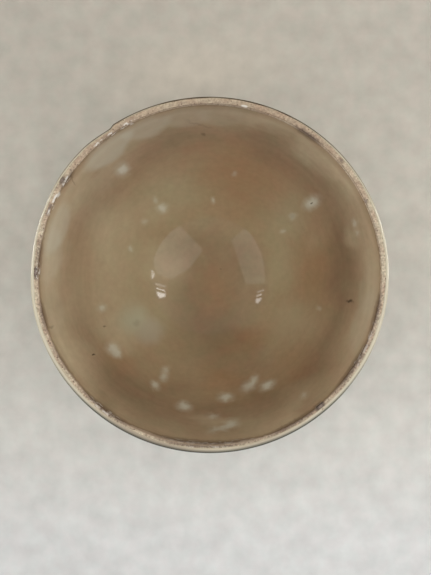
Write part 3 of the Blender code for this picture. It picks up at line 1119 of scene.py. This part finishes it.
def creamy_rim(tree, place, below_rim, colour):
    """The ash glaze at the lip: it thins to cream there, with painted shade on the near side."""
    uneven = wavering(tree, place, SAND_GRIT, 3, -RIM_BLUR, RIM_BLUR)
    edge = add(tree, "Math", {0: below_rim, 1: uneven}, operation="ADD")
    creamy = add(tree, "MapRange", {
        "Value": edge, "From Min": CREAM_START, "From Max": CREAM_FULL, "To Max": 0.8,
    })
    thin = add(tree, "MapRange", {
        "Value": edge, "From Min": THIN_START, "From Max": THIN_FULL, "To Max": 0.9,
    })
    # Painted shade on the near side of the rim
    near_shade = cover_of(tree, place, on_lip(NEAR_SHADE_RADIUS, NEAR_SHADE_ACROSS, NEAR_SHADE_STRETCHES), 0.9)
    near_shade = add(tree, "Math", {0: near_shade, 1: creamy}, operation="MULTIPLY")
    return covered(tree, colour, ((creamy, "#c4bca9"), (thin, "#bbad99"), (near_shade, "#978a7a")))


def rim_line_painted_shade(tree, place, below_rim, colour):
    """The ash glaze with a dark line of painted shade round its outermost edge, strongest on the near and
    the far side.
    """
    north = add(tree, "SeparateXYZ", {"Vector": place}, output="Y")
    away = add(tree, "Math", {0: north}, operation="ABSOLUTE")
    # Painted shade, strongest on the near and far sides
    line = add(tree, "MapRange", {
        "Value": away, "From Min": RIM_SIDE, "From Max": RIM_DARKEST, "To Min": 0.15, "To Max": 0.9,
    })
    top = add(tree, "MapRange", {
        "Value": north, "From Min": -RIM_SIDE, "From Max": -RIM_NEAREST,
        "To Min": RIM_LINE_TOP, "To Max": RIM_LINE_NEAR_TOP,
    })
    for start, end in ((top, RIM_LINE_FULL), (RIM_LINE_END, RIM_LINE_FADE)):
        limit = add(tree, "MapRange", {"Value": below_rim, "From Min": start, "From Max": end})
        line = add(tree, "Math", {0: line, 1: limit}, operation="MULTIPLY")
    browner = add(tree, "MapRange", {"Value": north, "From Min": -RIM_SIDE, "From Max": RIM_SIDE})
    dark = add(tree, "Mix", {
        "Factor": browner, "A": linear("#2b2e26"), "B": linear("#4d4235"),
    }, data_type="RGBA")
    return add(tree, "Mix", {"Factor": line, "A": colour, "B": dark}, data_type="RGBA")


def grey_green_glaze():
    """Ash glaze, dipped and fired to glass: pale grey-green, glossy, greener where it gathers."""
    material, tree, shader = new_finish("glossy_grey_green_ash_glaze", 0.1, 1.5)
    place = add(tree, "TexCoord", {}, output="Object")
    streaks = add(tree, "Mapping", {"Vector": place, "Scale": (1, 1, ASH_CLOUD_STRETCH)})
    colour = patches(tree, streaks, ASH_CLOUD, 4, 0.2, ("#a9a68e", "#bebca6"))
    iron = specks(tree, place, ASH_IRON_SPACING, 0.075, 0.045, 0.7)
    colour = covered(tree, colour, ((iron, "#6a5a44"),))
    below_rim = add(tree, "Attribute", {}, output="Fac", attribute_name="below_rim")
    colour = creamy_rim(tree, place, below_rim, colour)
    colour = rim_line_painted_shade(tree, place, below_rim, colour)
    above_hem = add(tree, "Attribute", {}, output="Fac", attribute_name="above_hem")
    pooled = add(tree, "MapRange", {
        "Value": above_hem, "From Min": HEM_ROLL_REACH, "From Max": 0, "To Max": 0.7,
    })
    colour = covered(tree, colour, ((pooled, "#7d8168"),))
    swell = add(tree, "TexNoise", {"Vector": place, "Scale": 1 / GLAZE_RIPPLE, "Detail": 1})
    dress(tree, shader, colour, swell, 0.3, 0.05 * MM)
    return material


# Table, and the backdrop that it passes into
BACKDROP = "#f6f3ee"
BACKDROP_LIGHT = 0.75
BACKDROP_START = 200 * MM
BACKDROP_FULL = 900 * MM
TABLE_FAR = 90 * MM
TABLE_NEAR = -110 * MM
TABLE_SIDE = 70 * MM
TABLE_PATCH = 9 * MM
TABLE_VEIN = 6 * MM
# Painted light: a lighter patch of the table just beyond the bowl
TABLE_PAINTED_GLOW = ((-8, 86, 110, 44, 8, 1.0),)  # an oval, as in the glaze
# Colours of the table from its far side to its near side: painted light, lighter and cooler towards the near
# side
PAINTED_LIGHT_FAR_TO_NEAR = (
    (0.0, "#aca8a0"),
    (0.4, "#b9b6ae"),
    (0.78, "#c5c5c2"),
    (1.0, "#c8cacb"),
)


def pale_table_top():
    """Honed pale stone: matt, with soft grey and beige patches. It has painted light: lighter and cooler
    towards the near side, lighter towards the east and in a patch just beyond the bowl.
    """
    material, tree, shader = new_finish("honed_pale_stone", 0.6, 1.45)
    place = add(tree, "TexCoord", {}, output="Object")
    north = add(tree, "SeparateXYZ", {"Vector": place}, output="Y")
    # Painted light: lighter and cooler towards the near side
    nearness = add(tree, "MapRange", {"Value": north, "From Min": TABLE_FAR, "From Max": TABLE_NEAR})
    colour = add(tree, "ValToRGB", {"Fac": nearness}, stops=PAINTED_LIGHT_FAR_TO_NEAR)
    veins = patches(tree, place, TABLE_VEIN, 3, 0.1, ("#b7bab0", "#c0b5ad"))
    colour = add(tree, "Mix", {"Factor": 0.2, "A": colour, "B": veins}, data_type="RGBA")
    # Painted light: a lighter patch just beyond the bowl
    colour = covered(tree, colour, ((cover_of(tree, place, TABLE_PAINTED_GLOW, 1.0), "#bab4aa"),))
    # Painted light: lighter towards the east
    east = add(tree, "SeparateXYZ", {"Vector": place}, output="X")
    sideways = add(tree, "MapRange", {
        "Value": east, "From Min": -TABLE_SIDE, "From Max": TABLE_SIDE, "To Min": 0.955, "To Max": 1.03,
    })
    tone = wavering(tree, place, TABLE_PATCH, 5, 0.79, 1.21)
    tree.links.new(shaded(tree, colour, (sideways, tone)), shader.inputs["Base Color"])

    distance = add(tree, "VectorMath", {0: place}, output="Value", operation="LENGTH")
    far = add(tree, "MapRange", {
        "Value": distance, "From Min": BACKDROP_START, "From Max": BACKDROP_FULL,
    }, interpolation_type="SMOOTHSTEP")
    seen = add(tree, "LightPath", {}, output="Is Camera Ray")
    mirrored = add(tree, "LightPath", {}, output="Is Glossy Ray")
    shown = add(tree, "Math", {0: seen, 1: mirrored}, operation="MAXIMUM")
    faded = add(tree, "Math", {0: far, 1: shown}, operation="MULTIPLY")
    backdrop = add(tree, "Emission", {"Color": linear(BACKDROP), "Strength": BACKDROP_LIGHT})
    both = add(tree, "MixShader", {0: faded, 1: shader.outputs["BSDF"], 2: backdrop})
    tree.links.new(both, tree.nodes["Material Output"].inputs["Surface"])
    return material


thrown_body(bare_stoneware())
trimmed_foot(trimmed_stoneware())
inner_coat(brown_olive_glaze())
outer_coat(grey_green_glaze())

# Floor
FLOOR_GAP = 0.05 * MM  # keeps the floor from sharing a plane with the foot's face
FLOOR_CORNERS = ((-4, -4, 0), (4, -4, 0), (4, 4, 0), (-4, 4, 0))

floor_data = bpy.data.meshes.new("floor")
floor_data.from_pydata(FLOOR_CORNERS, [], [(0, 1, 2, 3)])
floor_data.materials.append(pale_table_top())
floor = bpy.data.objects.new("floor", floor_data)
floor.location.z = -FLOOR_GAP
bpy.context.scene.collection.objects.link(floor)

# Camera: it looks straight down
PIXELS = (431, 575)
PIXELS_PER_MM = 2.956  # in the plane of the lip
EYE_HEIGHT = 300 * MM  # above the lip
SENSOR = 36  # mm
BOWL_PIXEL = (209.4, 274.9)  # where the bowl's axis meets the plane of the lip
EYE = Vector((
    (PIXELS[0] / 2 - BOWL_PIXEL[0]) / PIXELS_PER_MM * MM,
    -(PIXELS[1] / 2 - BOWL_PIXEL[1]) / PIXELS_PER_MM * MM,
    LIP_TOP + EYE_HEIGHT,
))

camera_data = bpy.data.cameras.new("camera")
camera_data.sensor_width = SENSOR
camera_data.lens = SENSOR * EYE_HEIGHT / (PIXELS[1] / PIXELS_PER_MM * MM)
camera = bpy.data.objects.new("camera", camera_data)
camera.location = EYE
bpy.context.scene.collection.objects.link(camera)
bpy.context.scene.camera = camera

# Room: an even soft light with windows in it. A window is set by its mirror image in the well:
# the pixels where the picture has the image's corners, listed anticlockwise.
ROOM_LIGHT = 0.34
LOWEST_RISE = 0.2  # how steeply up the lowest part of a window is seen
LEFT_PANE = ((150, 251), (157, 275), (171, 281), (191, 270), (205, 250), (178, 223))
RIGHT_PANE = ((230, 240), (240, 270), (245, 285), (265, 284), (263, 257), (246, 227))
ROUND_GLINT = ((149, 269), (149, 276), (151, 279), (154, 278), (155, 274), (153, 270))
ROUND_GLINT_MIDDLE = ((152, 272), (152, 275), (153, 275), (153, 272))
LEFT_GLINT = ((156, 291), (159, 299), (166, 297), (166, 293))
LEFT_SLAT = ((156, 287), (156, 289), (165, 292), (165, 290))
LEFT_FAINT_SLAT = ((155, 282), (155, 285), (166, 289), (166, 285))
RIGHT_GLINT = ((255, 300), (256, 304), (258, 304), (262, 299), (262, 297), (257, 298))
RIGHT_SLAT = ((256, 295), (256, 297), (262, 295), (262, 293))
RIGHT_FAINT_SLAT = ((257, 291), (257, 293), (264, 291), (264, 289))
WINDOWS = (
    # image, softness of the edges, brightness (below 0 for the dark middle of a window)
    (LEFT_PANE, 0.06, 0.9),
    (RIGHT_PANE, 0.04, 0.8),
    (ROUND_GLINT, 0.02, 6.5),
    (ROUND_GLINT_MIDDLE, 0.01, -5.8),
    (LEFT_GLINT, 0.03, 11),
    (LEFT_SLAT, 0.015, 8),
    (LEFT_FAINT_SLAT, 0.03, 3),
    (RIGHT_GLINT, 0.03, 7),
    (RIGHT_SLAT, 0.015, 6.5),
    (RIGHT_FAINT_SLAT, 0.015, 3.5),
)


def outlook_from(column, row):
    """Where a pixel looks by way of the well: how far east and north for each metre that it is higher up."""
    middle = Vector((0, 0, WELL_HEIGHT + WELL_RADIUS))
    in_lip_plane = Vector((
        (column - BOWL_PIXEL[0]) / PIXELS_PER_MM * MM,
        (BOWL_PIXEL[1] - row) / PIXELS_PER_MM * MM,
        LIP_TOP,
    ))
    crossings = intersect_line_sphere(EYE, in_lip_plane, middle, WELL_RADIUS, False)
    point = min(crossings, key=lambda crossing: crossing.z)
    mirrored = (point - EYE).reflect((middle - point).normalized())
    return mirrored.xy / mirrored.z


world = bpy.data.worlds.new("soft_room")
bpy.context.scene.world = world
world.use_nodes = True
sky = world.node_tree
direction = add(sky, "TexCoord", {}, output="Generated")
rise = add(sky, "SeparateXYZ", {"Vector": direction}, output="Z")
overhead = add(sky, "Math", {0: rise, 1: LOWEST_RISE}, operation="GREATER_THAN")
for_each_metre = add(sky, "Math", {0: 1.0, 1: rise}, operation="DIVIDE")
outlook = add(sky, "VectorMath", {"Vector": direction, "Scale": for_each_metre}, operation="SCALE")
light = ROOM_LIGHT
for image, softness, brightness in WINDOWS:
    pane = overhead
    corners = [outlook_from(*corner) for corner in image]
    for start, end in zip(corners, corners[1:] + corners[:1]):
        inward = Vector((start.y - end.y, end.x - start.x, 0)).normalized()
        edge = inward.dot(start.to_3d())
        reach = add(sky, "VectorMath", {0: outlook, 1: inward}, output="Value", operation="DOT_PRODUCT")
        past_edge = add(sky, "MapRange", {
            "Value": reach, "From Min": edge, "From Max": edge + softness,
        }, interpolation_type="SMOOTHSTEP")
        pane = add(sky, "Math", {0: pane, 1: past_edge}, operation="MULTIPLY")
    light = add(sky, "Math", {0: pane, 1: brightness, 2: light}, operation="MULTIPLY_ADD")
seen = add(sky, "LightPath", {}, output="Is Camera Ray")
shown = add(sky, "Mix", {"Factor": seen, "A": light, "B": BACKDROP_LIGHT}, data_type="FLOAT")
background = sky.nodes["Background"]
background.inputs["Color"].default_value = linear(BACKDROP)
sky.links.new(shown, background.inputs["Strength"])


def softbox(name, place, aim, width, height, brightness, shade, mirrored):
    """A rectangular lamp that faces a point. Brightness is how it looks, where 1 is white."""
    lamp_data = bpy.data.lights.new(name, "AREA")
    lamp_data.shape = "RECTANGLE"
    lamp_data.size = width
    lamp_data.size_y = height
    lamp_data.color = linear(shade)[:3]
    lamp_data.energy = brightness * math.pi * width * height
    lamp = bpy.data.objects.new(name, lamp_data)
    lamp.location = place
    lamp.rotation_mode = "QUATERNION"
    lamp.rotation_quaternion = (Vector(aim) - Vector(place)).to_track_quat("-Z", "Y")
    lamp.visible_camera = False
    lamp.visible_glossy = mirrored
    bpy.context.scene.collection.objects.link(lamp)


softbox("overhead", (0, 0, 1.3), (0, 0, 0), 1.2, 1.2, 2.15, "#fff8ee", mirrored=False)
softbox("near_daylight", (0.02, -0.44, 0.22), (0, -0.10, 0), 0.5, 0.16, 2.2, "#cfe0ff", mirrored=False)
for name, place in (("left_strip", (-1.16, 0.29, 0.17)), ("right_strip", (1.18, 0.23, 0.17))):
    softbox(name, place, (0, 0, 0.07), 0.5, 0.3, 17, "#fbfbf8", mirrored=True)

bpy.context.scene.view_settings.view_transform = "Standard"
